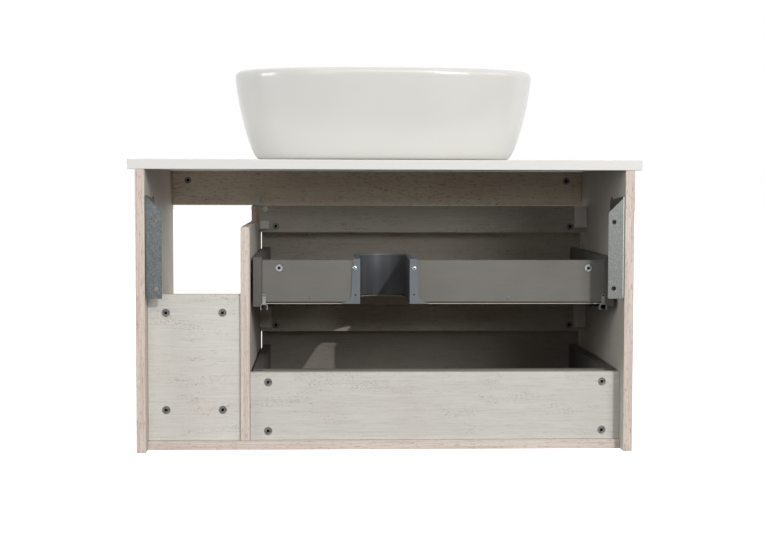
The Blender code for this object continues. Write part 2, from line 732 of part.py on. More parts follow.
def main():
    clear_scene()
    make_countertop()
    make_seal()
    make_basin()
    make_sides()
    make_base()
    make_divider()
    make_top_rail()
    make_cross_rails()
    make_divider_connector()
    make_backs()
    for side, wall, turn in (("left", INNER_LEFT, 1), ("right", INNER_RIGHT, -1)):
        make_bracket("bracket_" + side, wall, turn)
    for prefix, box_drop, back_drop, front, recess in (
            ("upper_drawer", UPPER_BOX_DROP, UPPER_BACK_DROP, UPPER_FRONT, True),
            ("lower_drawer", LOWER_BOX_DROP, LOWER_BACK_DROP, LOWER_FRONT, False)):
        make_drawer(prefix, box_drop, back_drop, front, recess)
        make_runner(prefix, "left", INNER_LEFT, 1, DRAWER_GAP_LEFT, box_drop)
        make_runner(prefix, "right", DIV_LEFT, -1, DRAWER_GAP_RIGHT, box_drop)


main()
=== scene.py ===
"""Looks of the wall-hung vanity with its vessel basin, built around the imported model."""
import json
import math

import bmesh
import bpy
from mathutils import Matrix, Vector

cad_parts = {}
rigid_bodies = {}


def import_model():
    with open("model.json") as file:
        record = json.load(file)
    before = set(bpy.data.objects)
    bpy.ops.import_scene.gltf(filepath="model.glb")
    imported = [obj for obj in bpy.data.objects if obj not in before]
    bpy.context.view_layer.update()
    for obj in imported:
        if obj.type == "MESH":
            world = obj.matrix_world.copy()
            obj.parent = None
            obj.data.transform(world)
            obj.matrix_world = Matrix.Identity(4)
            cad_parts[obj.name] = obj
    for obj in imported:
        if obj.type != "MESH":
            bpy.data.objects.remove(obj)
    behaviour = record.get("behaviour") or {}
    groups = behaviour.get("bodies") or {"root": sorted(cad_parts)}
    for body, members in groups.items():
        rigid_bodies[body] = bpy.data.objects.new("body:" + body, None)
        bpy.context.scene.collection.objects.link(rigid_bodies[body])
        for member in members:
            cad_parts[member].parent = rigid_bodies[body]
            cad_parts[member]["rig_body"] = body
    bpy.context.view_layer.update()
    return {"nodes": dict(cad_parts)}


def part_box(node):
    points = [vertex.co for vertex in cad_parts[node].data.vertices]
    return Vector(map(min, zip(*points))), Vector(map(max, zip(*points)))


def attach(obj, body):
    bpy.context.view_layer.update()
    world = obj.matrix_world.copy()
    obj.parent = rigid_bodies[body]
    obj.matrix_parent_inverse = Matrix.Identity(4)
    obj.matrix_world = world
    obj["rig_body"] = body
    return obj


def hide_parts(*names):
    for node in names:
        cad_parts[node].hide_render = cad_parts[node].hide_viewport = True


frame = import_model()
NODES = frame["nodes"]
CARCASS = "carcass"
X, Y, Z = 0, 1, 2


# ---------------------------------------------------------------- small helpers
def lin(*srgb):
    """Linear colour from 0-255 screen values."""
    return tuple((v / 255 / 12.92) if v <= 10 else ((v / 255 + 0.055) / 1.055) ** 2.4 for v in srgb) + (1.0,)


def scaled(color, gain, most=math.inf):
    """Colour multiplied by a gain, with no channel above the limit."""
    return tuple(min(most, c * gain) for c in color[:3]) + (1.0,)


def link_object(name, data):
    obj = bpy.data.objects.new(name, data)
    bpy.context.scene.collection.objects.link(obj)
    return obj


def discard(obj):
    bpy.data.objects.remove(obj, do_unlink=True)


def soften(mesh, angle):
    """Smooth shading, with edges sharper than the angle kept crisp."""
    mesh.shade_smooth()
    mesh.set_sharp_from_angle(angle=math.radians(angle))


def mesh_object(name, bm):
    """Object from a bmesh, with its normals turned outwards."""
    bmesh.ops.recalc_face_normals(bm, faces=bm.faces)
    mesh = bpy.data.meshes.new(name)
    bm.to_mesh(mesh)
    bm.free()
    return link_object(name, mesh)


def from_bmesh(name, bm, mat, angle=35):
    obj = mesh_object(name, bm)
    obj.data.materials.append(mat)
    soften(obj.data, angle)
    return obj


def prism(bm, outline, place):
    """Closed prism; place(point, end) turns an outline point into a corner at either end."""
    near = [bm.verts.new(place(p, 0)) for p in outline]
    far = [bm.verts.new(place(p, 1)) for p in outline]
    bm.faces.new(near)
    bm.faces.new(list(reversed(far)))
    for i in range(len(outline)):
        j = (i + 1) % len(outline)
        bm.faces.new([near[j], near[i], far[i], far[j]])


def extruded(name, outline, place, mat):
    bm = bmesh.new()
    prism(bm, outline, place)
    return from_bmesh(name, bm, mat)


def cutter(outline, place):
    """Prism for carve to subtract."""
    bm = bmesh.new()
    prism(bm, outline, place)
    return mesh_object("cutter", bm)


def ring_points(radius, count):
    turns = [2 * math.pi * i / count for i in range(count)]
    return [(radius * math.cos(turn), radius * math.sin(turn)) for turn in turns]


def revolve(bm, profile, place, count):
    """Surface of revolution; profile holds (radius, along), place turns (u, w, along) into a point."""
    loops = []
    for radius, along_axis in profile:
        if radius == 0:
            loops.append([bm.verts.new(place(0.0, 0.0, along_axis))])
        else:
            loops.append([bm.verts.new(place(u, w, along_axis)) for u, w in ring_points(radius, count)])
    for low, high in zip(loops, loops[1:]):
        for i in range(count):
            j = (i + 1) % count
            quad = [low[i % len(low)], low[j % len(low)], high[j % len(high)], high[i % len(high)]]
            face = list(dict.fromkeys(quad))
            if len(face) > 2:
                bm.faces.new(face)


def corner_cut(points, radius, steps=4):
    """Round the corners of a polygon."""
    out = []
    count = len(points)
    for i in range(count):
        p, q, r = Vector(points[i - 1]), Vector(points[i]), Vector(points[(i + 1) % count])
        a = (p - q).normalized()
        b = (r - q).normalized()
        half = a.angle(b) / 2
        reach = min(radius / math.tan(half), (p - q).length * 0.45, (r - q).length * 0.45)
        start = q + a * reach
        end = q + b * reach
        for k in range(steps + 1):
            t = k / steps
            out.append(tuple((1 - t) ** 2 * start + 2 * t * (1 - t) * q + t * t * end))
    return out


def bevel(obj, width, segments, angle=40):
    mod = obj.modifiers.new("edge", "BEVEL")
    mod.width = width
    mod.segments = segments
    mod.limit_method = "ANGLE"
    mod.angle_limit = math.radians(angle)
    mod.harden_normals = False


def carve(obj, tools):
    """Subtract closed meshes from an object, one after another."""
    for tool in tools:
        mod = obj.modifiers.new("cut", "BOOLEAN")
        mod.operation = "DIFFERENCE"
        mod.solver = "EXACT"
        mod.object = tool
        graph = bpy.context.evaluated_depsgraph_get()
        mesh = bpy.data.meshes.new_from_object(obj.evaluated_get(graph))
        obj.modifiers.clear()
        obj.data = mesh
        discard(tool)
    return obj


def shade_deep_faces(obj, is_deep):
    """Give the faces deep inside a recess or channel a nearly black colour: painted shade."""
    obj.data.materials.append(FINISH["hollow"])
    for face in obj.data.polygons:
        if is_deep(face):
            face.material_index = 1


def join_objects(name, parts):
    graph = bpy.context.evaluated_depsgraph_get()
    bm = bmesh.new()
    mats = []
    for part in parts:
        mesh = bpy.data.meshes.new_from_object(part.evaluated_get(graph))
        first = len(mats)
        mats += list(mesh.materials)
        for face in mesh.polygons:
            face.material_index += first
        bm.from_mesh(mesh)
        bpy.data.meshes.remove(mesh)
        discard(part)
    mesh = bpy.data.meshes.new(name)
    bm.to_mesh(mesh)
    bm.free()
    for mat in mats:
        mesh.materials.append(mat)
    soften(mesh, 35)
    return link_object(name, mesh)


def finish_piece(obj, body, slot, *nodes):
    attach(obj, body)
    if nodes:
        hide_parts(*nodes)


def body_of(node):
    return NODES[node]["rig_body"]


def measures(node):
    """Centre, half size and upper corner of a CAD node's box."""
    low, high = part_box(node)
    return (low + high) / 2, (high - low) / 2, high


# ---------------------------------------------------------------- materials
def put(tree, socket, value):
    """Link a socket to another one, or set its value."""
    if isinstance(value, bpy.types.NodeSocket):
        tree.links.new(value, socket)
    else:
        socket.default_value = value


def add_node(tree, kind, inputs, **settings):
    made = tree.nodes.new(kind)
    for key, value in settings.items():
        setattr(made, key, value)
    for key, value in inputs.items():
        put(tree, made.inputs[key], value)
    return made


class Graph:
    """A material whose colour, roughness and bump come from nodes."""

    def __init__(self, name, roughness=0.5, metallic=0.0, coat=0.0, coat_roughness=0.03, specular=0.5):
        self.mat = bpy.data.materials.new(name)
        self.mat.use_nodes = True
        self.tree = self.mat.node_tree
        self.shader = self.tree.nodes["Principled BSDF"]
        settings = {"Roughness": roughness, "Metallic": metallic, "Coat Weight": coat,
                    "Coat Roughness": coat_roughness, "Specular IOR Level": specular, "IOR": 1.5}
        for key, value in settings.items():
            self.shader.inputs[key].default_value = value
        self.coords = self.tree.nodes.new("ShaderNodeTexCoord")

    def node(self, kind, inputs, **settings):
        return add_node(self.tree, kind, inputs, **settings)

    def at(self, scale, offset=(0, 0, 0)):
        """Object coordinates in metres, stretched by a scale."""
        made = self.node("ShaderNodeMapping", {"Vector": self.coords.outputs["Object"], "Location": offset,
                                               "Scale": scale})
        return made.outputs["Vector"]

    def noise(self, vector, detail=3.0, rough=0.5, distortion=0.0):
        made = self.node("ShaderNodeTexNoise", {"Vector": vector, "Scale": 1.0, "Detail": detail,
                                                "Roughness": rough, "Distortion": distortion})
        return made.outputs["Fac"]

    def ramp(self, value, low, high, out_low=0.0, out_high=1.0):
        made = self.node("ShaderNodeMapRange", {"Value": value, "From Min": low, "From Max": high,
                                                "To Min": out_low, "To Max": out_high},
                         interpolation_type="SMOOTHSTEP")
        return made.outputs["Result"]

    def math(self, operation, a, b=0.0):
        return self.node("ShaderNodeMath", {0: a, 1: b}, operation=operation).outputs[0]

    def mix(self, factor, a, b, blend="MIX"):
        made = self.node("ShaderNodeMix", {0: factor, 6: a, 7: b}, data_type="RGBA", blend_type=blend)
        return made.outputs[2]

    def dim(self, color, gain):
        """Multiply a colour by a plain gain."""
        return self.mix(1.0, color, (gain, gain, gain, 1.0), "MULTIPLY")

    def bump(self, height, strength, distance):
        made = self.node("ShaderNodeBump", {"Height": height, "Strength": strength, "Distance": distance})
        return made.outputs["Normal"]

    def component(self, output, axis):
        """One component of the object's coordinates or of its normals."""
        return self.node("ShaderNodeSeparateXYZ", {0: self.coords.outputs[output]}).outputs[axis]

    def facing(self, axis):
        """1 where the surface looks either way along an axis, 0 where it doesn't."""
        return self.ramp(self.math("ABSOLUTE", self.component("Normal", axis)), 0.6, 0.8)

    def looks(self, axis, sign):
        """1 on faces that look one way along an axis, 0 on all others."""
        return self.ramp(self.math("MULTIPLY", self.component("Normal", axis), float(sign)), 0.6, 0.8)

    def done(self, color, roughness=None, normal=None):
        for key, value in (("Base Color", color), ("Roughness", roughness), ("Normal", normal)):
            if value is not None:
                put(self.tree, self.shader.inputs[key], value)
        return self.mat


def along(axis, fine, coarse):
    """Scale that stretches a texture along one axis."""
    return tuple(coarse if i == axis else fine for i in range(3))


SHOW_CRACKS = 0.14
CRACK = lin(84, 74, 62)
PAINTED_WARM_SHADE = (0.80, 0.66, 0.50, 1.0)


def whitewash(g, axis, shift, grain):
    """Worn paint over wood: its colour and the mask of its bare spots."""
    bands = g.noise(g.at(along(axis, 110, 2.6), shift), 4.0, 0.62, 0.5)
    clouds = g.noise(g.at((6.0, 6.0, 6.0), shift), 2.0, 0.5)
    paint = g.mix(g.ramp(bands, 0.34, 0.68), lin(201, 199, 193), lin(206, 204, 198))
    paint = g.mix(g.ramp(clouds, 0.50, 0.74, 0.0, 0.5), paint, lin(200, 190, 182))
    paint = g.mix(g.ramp(grain, 0.42, 0.68, 0.0, 0.22), paint, lin(160, 154, 144))
    # bare spots: short dashes of wood showing through, in loose groups
    dash = g.noise(g.at(along(axis, 950, 260), shift), 2.0, 0.6)
    groups = g.noise(g.at(along(axis, 44, 16), shift), 3.0, 0.62)
    worn = g.math("MULTIPLY", g.ramp(dash, 0.55, 0.62), g.ramp(groups, 0.56, 0.64))
    rare = g.math("MULTIPLY", g.ramp(dash, 0.64, 0.70), g.ramp(groups, 0.47, 0.58, 0.0, 0.9))
    tint = g.mix(g.ramp(g.noise(g.at((60, 60, 60), shift), 1.0), 0.40, 0.60), lin(186, 160, 144),
                 lin(150, 144, 134))
    face = g.mix(g.math("MULTIPLY", worn, 0.66), paint, tint)
    return g.mix(g.math("MULTIPLY", rare, 0.85), face, lin(112, 96, 84)), worn


def open_grain(g, axis, shift):
    """Dark open grain: wavy hairlines along the board."""
    crack = g.noise(g.at(along(axis, 700, 84), shift), 4.0, 0.70, 0.4)
    patch = g.noise(g.at(along(axis, 16, 7), shift), 2.0, 0.5)
    return g.math("MULTIPLY", g.ramp(crack, 0.55, 0.64), g.ramp(patch, 0.40, 0.62, 0.5, 1.0))


def edge_band(g, axis, shift):
    """Pinkish brushed edge band: its colour and its streaks."""
    streak = g.noise(g.at(along(axis, 430, 7), shift), 3.0, 0.7)
    pore = g.noise(g.at(along(axis, 620, 80), shift), 2.0, 0.6)
    band = g.mix(g.ramp(streak, 0.38, 0.62), lin(220, 208, 199), lin(204, 187, 176))
    return g.mix(g.ramp(pore, 0.58, 0.65, 0.0, 0.6), band, lin(160, 134, 119)), streak


def laminate(name, face_axis, grain_axis, edge_axis, seed, warm=0.0, gain=1.0, cracks=SHOW_CRACKS, show=-1):
    """Whitewashed wood decor on the faces and a pinkish brushed band on the edges.

    The face that looks along face_axis in the direction of show keeps the plain decor. The other faces take a
    warm tint as painted shade, the gain as painted light and shade, and open grain, and so do all faces where
    show is 0."""
    g = Graph(name, roughness=0.55, specular=0.35)
    shift = (seed * 1.37, seed * 2.11, seed * 0.73)
    grain = g.noise(g.at(along(grain_axis, 520, 26), shift), 4.0, 0.62, 0.25)
    wood, worn = whitewash(g, grain_axis, shift, grain)
    crack = open_grain(g, grain_axis, shift)
    # painted shade: a warm tint over every face but the plain one
    face = g.mix(warm, wood, PAINTED_WARM_SHADE, "MULTIPLY")
    face = g.mix(g.math("MULTIPLY", crack, cracks), face, CRACK)
    # on boards that look to the wall the gain, painted light and shade, leaves the unshaded face and the
    # edges alone
    if face_axis == Y:
        face = g.dim(face, gain)
    if show:
        unshaded_face = g.mix(g.math("MULTIPLY", crack, SHOW_CRACKS), wood, CRACK)
        face = g.mix(g.looks(face_axis, show), face, unshaded_face)
    band, streak = edge_band(g, edge_axis, shift)
    is_face = g.facing(face_axis)
    color = g.mix(is_face, band, face)
    # on boards that don't look along Y the gain is painted light and shade over the whole colour, edges too
    if face_axis != Y:
        color = g.dim(color, gain)
    height = g.mix(is_face, g.ramp(streak, 0.3, 0.7), g.math("SUBTRACT", g.ramp(grain, 0.3, 0.7), worn))
    return g.done(color, g.ramp(grain, 0.3, 0.7, 0.50, 0.62), g.bump(height, 0.18, 0.0003))


def drawer_decor(name, grain_axis, seed, gain):
    """Smooth warm-grey melamine with a faint pearl texture; the gain scales every colour as painted light and
    shade, darker below one, brighter above.
    """
    g = Graph(name, roughness=0.55, specular=0.35)
    shift = (seed * 0.9, seed * 1.7, seed)
    fleck = g.noise(g.at((900, 900, 900), shift), 2.0, 0.7)
    cloud = g.noise(g.at((9, 9, 9), shift), 2.0, 0.5)
    grain = g.noise(g.at(along(grain_axis, 300, 30), shift), 2.0, 0.5)
    color = g.mix(g.ramp(cloud, 0.35, 0.65), scaled(lin(108, 106, 101), gain),
                  scaled(lin(114, 112, 107), gain))
    color = g.mix(g.ramp(fleck, 0.45, 0.70, 0.0, 0.28), color, scaled(lin(130, 128, 123), gain))
    color = g.mix(g.ramp(grain, 0.50, 0.75, 0.0, 0.18), color, scaled(lin(96, 93, 89), gain))
    return g.done(color, g.ramp(fleck, 0.3, 0.7, 0.50, 0.62), g.bump(fleck, 0.10, 0.0002))


def countertop_finish():
    """White compact board: matt, with a faint speckle and slightly rougher cut edges."""
    g = Graph("countertop_finish", roughness=0.42, specular=0.4)
    fleck = g.noise(g.at((700, 700, 700)), 3.0, 0.7)
    cloud = g.noise(g.at((5, 5, 5)), 3.0, 0.55)
    scuff = g.noise(g.at((260, 260, 900)), 2.0, 0.7)
    color = g.mix(g.ramp(cloud, 0.3, 0.7), lin(225, 225, 222), lin(229, 229, 227))
    color = g.mix(g.ramp(fleck, 0.55, 0.75, 0.0, 0.25), color, lin(213, 212, 208))
    edge = g.mix(g.ramp(scuff, 0.62, 0.72, 0.0, 0.25), lin(229, 228, 225), lin(212, 209, 203))
    color = g.mix(g.facing(Z), edge, color)
    return g.done(color, g.ramp(fleck, 0.3, 0.7, 0.34, 0.46), g.bump(fleck, 0.08, 0.0002))


def fibreboard(name, foot):
    """Brown hardboard with matted fibres, a dark sawn edge, and a paler colour on its underside and the
    lowest millimetre of its edge.
    """
    g = Graph(name, roughness=0.75, specular=0.2)
    fibre = g.noise(g.at((520, 260, 520)), 4.0, 0.7, 1.2)
    cloud = g.noise(g.at((14, 14, 14)), 3.0, 0.5)
    color = g.mix(g.ramp(fibre, 0.35, 0.68), lin(84, 70, 56), lin(122, 102, 82))
    color = g.mix(g.ramp(cloud, 0.4, 0.7, 0.0, 0.35), color, lin(108, 84, 62))
    sawn = g.mix(g.ramp(fibre, 0.35, 0.68), lin(58, 52, 44), lin(74, 66, 56))
    color = g.mix(g.facing(Z), sawn, color)
    # paler colour below a millimetre above the foot: the underside and a thin light line along the bottom
    # edge
    coat = g.mix(g.ramp(fibre, 0.30, 0.70), lin(178, 168, 154), lin(194, 184, 170))
    underside = g.ramp(g.component("Object", Z), foot + 0.0010, foot + 0.0014, 1.0, 0.0)
    color = g.mix(underside, color, coat)
    return g.done(color, g.ramp(fibre, 0.3, 0.7, 0.62, 0.82), g.bump(fibre, 0.35, 0.0004))


def metal(name, dark, light, roughness, metallic):
    """Cast or rolled metal with patchy tone and fine scratches."""
    g = Graph(name, roughness=roughness, metallic=metallic)
    patch = g.noise(g.at((160, 160, 160)), 3.0, 0.6)
    scratch = g.noise(g.at(along(Y, 2200, 260)), 2.0, 0.6)
    color = g.mix(g.ramp(patch, 0.3, 0.7), dark, light)
    color = g.mix(g.ramp(scratch, 0.60, 0.72, 0.0, 0.35), color, scaled(light, 1.35, 1.0))
    rough = g.ramp(patch, 0.3, 0.7, roughness - 0.08, roughness + 0.10)
    return g.done(color, rough, g.bump(scratch, 0.10, 0.0002))


def galvanised(name, dark, light, crystals=430.0):
    """Hot-dip galvanised sheet: fine mottled spangle, dull patches and a few rub marks."""
    g = Graph(name, roughness=0.46, metallic=0.80)
    mottle = g.noise(g.at((crystals, crystals, crystals)), 3.0, 0.7)
    crystal = g.node("ShaderNodeTexVoronoi", {"Vector": g.at((1, 1, 1)), "Scale": crystals * 1.3})
    tone = g.node("ShaderNodeSeparateColor", {0: crystal.outputs["Color"]}).outputs[0]
    tone = g.math("ADD", g.math("MULTIPLY", g.ramp(mottle, 0.36, 0.64), 0.65), g.math("MULTIPLY", tone, 0.35))
    color = g.mix(tone, dark, light)
    dull = g.noise(g.at((22, 22, 12)), 3.0, 0.6)
    color = g.mix(g.ramp(dull, 0.50, 0.72, 0.0, 0.25), color, scaled(dark, 0.88))
    rub = g.noise(g.at((900, 900, 60)), 2.0, 0.6)
    color = g.mix(g.ramp(rub, 0.68, 0.76, 0.0, 0.20), color, scaled(light, 1.3, 1.0))
    return g.done(color, g.ramp(tone, 0.0, 1.0, 0.38, 0.54), g.bump(tone, 0.08, 0.0002))


def plastic(name, dark, light, roughness, specular=0.45):
    """Moulded plastic with a spark-eroded texture."""
    g = Graph(name, roughness=roughness, specular=specular)
    pits = g.noise(g.at((1500, 1500, 1500)), 2.0, 0.6)
    cloud = g.noise(g.at((30, 30, 30)), 2.0, 0.5)
    color = g.mix(g.ramp(cloud, 0.35, 0.65), dark, light)
    color = g.mix(g.ramp(pits, 0.55, 0.75, 0.0, 0.2), color, scaled(light, 1.25))
    rough = g.ramp(pits, 0.3, 0.7, roughness - 0.06, roughness + 0.08)
    return g.done(color, rough, g.bump(pits, 0.15, 0.00015))


def liner_plastic():
    """Blue-grey moulding: the mounting flanges are matt; the deep well is smoother and painted darker, as
    shade.
    """
    g = Graph("liner_finish", roughness=0.42, specular=0.45)
    pits = g.noise(g.at((1500, 1500, 1500)), 2.0, 0.6)
    cloud = g.noise(g.at((30, 30, 12)), 2.0, 0.5)
    flow = g.noise(g.at((70, 70, 5)), 3.0, 0.55)
    flange = g.mix(g.ramp(cloud, 0.35, 0.65), lin(104, 110, 116), lin(112, 117, 122))
    well = g.mix(g.ramp(flow, 0.35, 0.65), lin(80, 85, 90), lin(96, 95, 98))
    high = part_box("upper_drawer_recess")[1]
    rim = g.ramp(g.component("Object", Z), high.z - 0.0032, high.z - 0.0024)
    rear = g.ramp(g.component("Object", Y), high.y - 0.0030, high.y - 0.0022)
    # painted shade: the well is darker than the flanges and rim
    color = g.mix(g.math("MAXIMUM", rear, rim), well, flange)
    color = g.mix(g.ramp(pits, 0.55, 0.75, 0.0, 0.2), color, lin(124, 128, 132))
    return g.done(color, g.ramp(pits, 0.3, 0.7, 0.36, 0.50), g.bump(pits, 0.15, 0.00015))


def ceramic():
    """White vitreous china: clear glaze over a faintly cloudy body."""
    g = Graph("glazed_ceramic_finish", roughness=0.32, coat=0.6, coat_roughness=0.03, specular=0.4)
    sag = g.noise(g.at((7, 7, 9)), 1.0, 0.4)
    speck = g.noise(g.at((420, 420, 420)), 1.0, 0.5)
    color = g.mix(g.ramp(sag, 0.3, 0.7), lin(218, 217, 213), lin(221, 220, 216))
    color = g.mix(g.ramp(speck, 0.74, 0.82, 0.0, 0.25), color, lin(196, 190, 182))
    return g.done(color, g.ramp(sag, 0.3, 0.7, 0.28, 0.36), g.bump(sag, 0.02, 0.003))


def silicone():
    g = Graph("seal_finish", roughness=0.6, specular=0.3)
    dust = g.noise(g.at((300, 300, 300)), 3.0, 0.6)
    # dark brown: partly the bead's own dusty colour, partly painted shade of the gap under the basin's foot
    color = g.mix(g.ramp(dust, 0.4, 0.7), lin(92, 80, 70), lin(126, 114, 104))
    return g.done(color, g.ramp(dust, 0.3, 0.7, 0.45, 0.7), g.bump(dust, 0.2, 0.0003))


FINISH = {
    # the warm values are a painted warm shade and the gains painted light and shade: above one a board is
    # brightened, below one darkened
    "side_left": laminate("laminate_left_side_finish", X, Z, Z, 1.0, 0.16, 1.03),
    "side_right": laminate("laminate_right_side_finish", X, Z, Z, 1.0, 0.34, 1.03, show=1),
    "divider": laminate("laminate_divider_finish", X, Z, Z, 1.0, 0.16, 1.03, show=0),
    "niche_back": laminate("laminate_niche_back_finish", Y, X, X, 2.0, 0.0, 1.19),
    "back_rail": laminate("laminate_back_rail_finish", Y, X, X, 3.3, 0.0, 1.07),
    "top_rail": laminate("laminate_top_rail_finish", Y, X, X, 4.1, 0.55, 1.78, 0.75),
    "cross": laminate("laminate_cross_rail_finish", Y, X, X, 5.7, 0.30, 1.0, 0.35),
    "upper_front": laminate("laminate_upper_front_finish", Y, X, X, 6.4, 0.35, 0.82, 0.35),
    "lower_front": laminate("laminate_lower_front_finish", Y, X, X, 9.1, 0.35, 0.55, 0.35),
    "base": laminate("laminate_base_finish", Z, X, X, 7.2, 0.0, 1.06, show=0),
    # drawer gains are painted light and shade too: the sides darkened, the back brightened
    "drawer_side": drawer_decor("drawer_side_finish", Y, 1.0, 0.78),
    "drawer_back": drawer_decor("drawer_back_finish", X, 2.0, 1.05),
    "countertop": countertop_finish(),
    "upper_bottom": fibreboard("upper_fibreboard_finish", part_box("upper_drawer_bottom")[0].z),
    "lower_bottom": fibreboard("lower_fibreboard_finish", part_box("lower_drawer_bottom")[0].z),
    "cam_dark": metal("cam_dark_finish", lin(138, 138, 136), lin(176, 176, 172), 0.45, 0.75),
    "cam_bright": metal("cam_bright_finish", lin(196, 199, 200), lin(218, 220, 221), 0.48, 0.7),
    "screw_dull": metal("screw_dull_finish", lin(120, 128, 130), lin(146, 152, 154), 0.45, 0.7),
    "screw": metal("screw_finish", lin(204, 208, 209), lin(228, 230, 230), 0.36, 0.7),
    # painted shade: near-black walls and floors of deep recesses and channels
    "hollow": plastic("hollow_finish", lin(7, 7, 8), lin(11, 11, 12), 0.8, 0.10),
    "bracket": galvanised("bracket_finish", lin(122, 124, 122), lin(156, 158, 154)),
    # painted light: the bend finish is a painted highlight, the flank finish painted shade
    "bracket_bend": galvanised("bracket_bend_finish", lin(196, 200, 196), lin(220, 223, 220)),
    "bracket_flank": galvanised("bracket_flank_finish", lin(112, 114, 116), lin(140, 142, 143)),
    "bracket_dull": galvanised("bracket_dull_finish", lin(112, 118, 121), lin(152, 157, 158), 380.0),
    "runner": galvanised("runner_finish", lin(176, 178, 176), lin(204, 206, 204), 700.0),
    "block": plastic("block_finish", lin(232, 231, 228), lin(238, 237, 234), 0.5),
    "liner": liner_plastic(),
    "clip": plastic("clip_finish", lin(16, 16, 16), lin(24, 24, 24), 0.75, 0.15),
    "ceramic": ceramic(),
    "seal": silicone(),
}


# ---------------------------------------------------------------- carried-over nodes
def finish_of(node):
    """Name of a visible CAD node's finish, or None where a detailed piece replaces the node."""
    if node.startswith("cam_"):
        return None
    level = node.split("_")[0]
    for part, finish in (("_cross_rail", "cross"), ("base_panel", "base"), ("divider_connector", "block"),
                         ("_cross_block_", "block"), ("_runner_", "runner"),
                         ("_drawer_front", level + "_front"), ("_drawer_side_", "drawer_side"),
                         ("_drawer_back", "drawer_back"), ("_drawer_bottom", level + "_bottom")):
        if part in node:
            return finish
    return node if node in FINISH else None


def paint_nodes():
    for node, obj in NODES.items():
        finish = finish_of(node)
        if finish:
            for slot in obj.material_slots:
                slot.material = FINISH[finish]


# ---------------------------------------------------------------- basin
# drop below the rim and inset from the widest outline, down the outside
OUTER = (
    (0.0, 0.0085), (0.0006, 0.0060), (0.0015, 0.0042), (0.0028, 0.0024), (0.0045, 0.0012),
    (0.0065, 0.0004), (0.0086, 0.0), (0.0135, 0.0004), (0.0190, 0.0010), (0.0265, 0.0019),
    (0.0340, 0.0030), (0.0500, 0.0056), (0.0605, 0.0076), (0.0710, 0.0099), (0.0815, 0.0124),
    (0.0920, 0.0150), (0.1020, 0.0177), (0.1125, 0.0207), (0.1205, 0.0235), (0.1285, 0.0265),
    (0.1343, 0.0291), (0.1400, 0.0318), (0.1435, 0.0341), (0.1470, 0.0368), (0.1488, 0.0388),
    (0.1500, 0.0420),
)
# drop below the rim, half length and half width, down the bowl and through the drain
INNER = (
    (0.0, 0.2470, 0.1570), (0.0005, 0.2456, 0.1556), (0.0018, 0.2445, 0.1545), (0.0040, 0.2435, 0.1535),
    (0.0080, 0.2425, 0.1525), (0.0180, 0.2405, 0.1505), (0.0290, 0.2385, 0.1485), (0.0460, 0.2345, 0.1447),
    (0.0630, 0.2285, 0.1400), (0.0775, 0.2210, 0.1338), (0.0920, 0.2110, 0.1250), (0.1025, 0.1995, 0.1168),
    (0.1110, 0.1860, 0.1075), (0.1178, 0.1690, 0.0962), (0.1225, 0.1490, 0.0840), (0.1260, 0.1252, 0.0705),
    (0.1285, 0.0990, 0.0560), (0.1302, 0.0735, 0.0440), (0.1315, 0.0500, 0.0340), (0.1325, 0.0360, 0.0290),
    (0.1333, 0.0270, 0.0255), (0.1343, 0.0233, 0.0233), (0.1375, 0.0227, 0.0227), (0.1500, 0.0226, 0.0226),
)
OVAL_POINTS = 160
SQUARENESS = 2.5
ROUND = 2
DRAIN_REACH = 0.030
GLAZE_ANGLE = 70
BEAD_SIDES = 8
BEAD_HALF = 0.0030


def oval(bm, centre, a, b, z, squareness=SQUARENESS):
    """Loop of a superellipse around a centre."""
    loop = []
    for i in range(OVAL_POINTS):
        c = math.cos(2 * math.pi * i / OVAL_POINTS)
        s = math.sin(2 * math.pi * i / OVAL_POINTS)
        x = a * math.copysign(abs(c) ** (2 / squareness), c)
        y = b * math.copysign(abs(s) ** (2 / squareness), s)
        loop.append(bm.verts.new((centre.x + x, centre.y + y, z)))
    return loop


def skin(bm, loops):
    """Join a closed chain of loops with quads."""
    for one, two in zip(loops, loops[1:] + loops[:1]):
        for i in range(OVAL_POINTS):
            j = (i + 1) % OVAL_POINTS
            bm.faces.new([one[i], one[j], two[j], two[i]])


def make_basin():
    centre, half, high = measures("basin")
    bm = bmesh.new()
    loops = []
    for drop, inset in reversed(OUTER):
        loops.append(oval(bm, centre, half.x - inset, half.y - inset, high.z - drop))
    for drop, a, b in INNER:
        loops.append(oval(bm, centre, a, b, high.z - drop, ROUND if a < DRAIN_REACH else SQUARENESS))
    skin(bm, loops)
    obj = from_bmesh("basin_shell", bm, FINISH["ceramic"], GLAZE_ANGLE)
    finish_piece(obj, CARCASS, "glazed_ceramic", "basin")


def make_seal():
    """Bead between the basin's foot and the top; its dark brown is partly the bead's dusty colour and partly
    painted shade of the gap under the foot.
    """
    centre, half = measures("basin_seal")[:2]
    bm = bmesh.new()
    loops = []
    for i in range(BEAD_SIDES):
        turn = 2 * math.pi * i / BEAD_SIDES
        inset = BEAD_HALF * (1 - math.cos(turn))
        loops.append(oval(bm, centre, half.x - inset, half.y - inset, centre.z + half.z * math.sin(turn)))
    skin(bm, loops)
    obj = from_bmesh("basin_bead", bm, FINISH["seal"], GLAZE_ANGLE)
    finish_piece(obj, CARCASS, "seal", "basin_seal")


# ---------------------------------------------------------------- cams and screws
# masters look along +Y, with their face at y = 0
CAM_CROSS_ARM = 0.0030
CAM_CROSS_SLOT = 0.00125
CAM_CROSS_DEPTH = 0.0046
CAM_SIDES = 40
# closing mark on the cam's face: a small arrow head above the cross
CAM_MARK = ((-0.0005, -0.0052), (0.0005, -0.0052), (0.0, -0.0041))
CAM_MARK_START = 0.0004
CAM_MARK_DEPTH = 0.0010
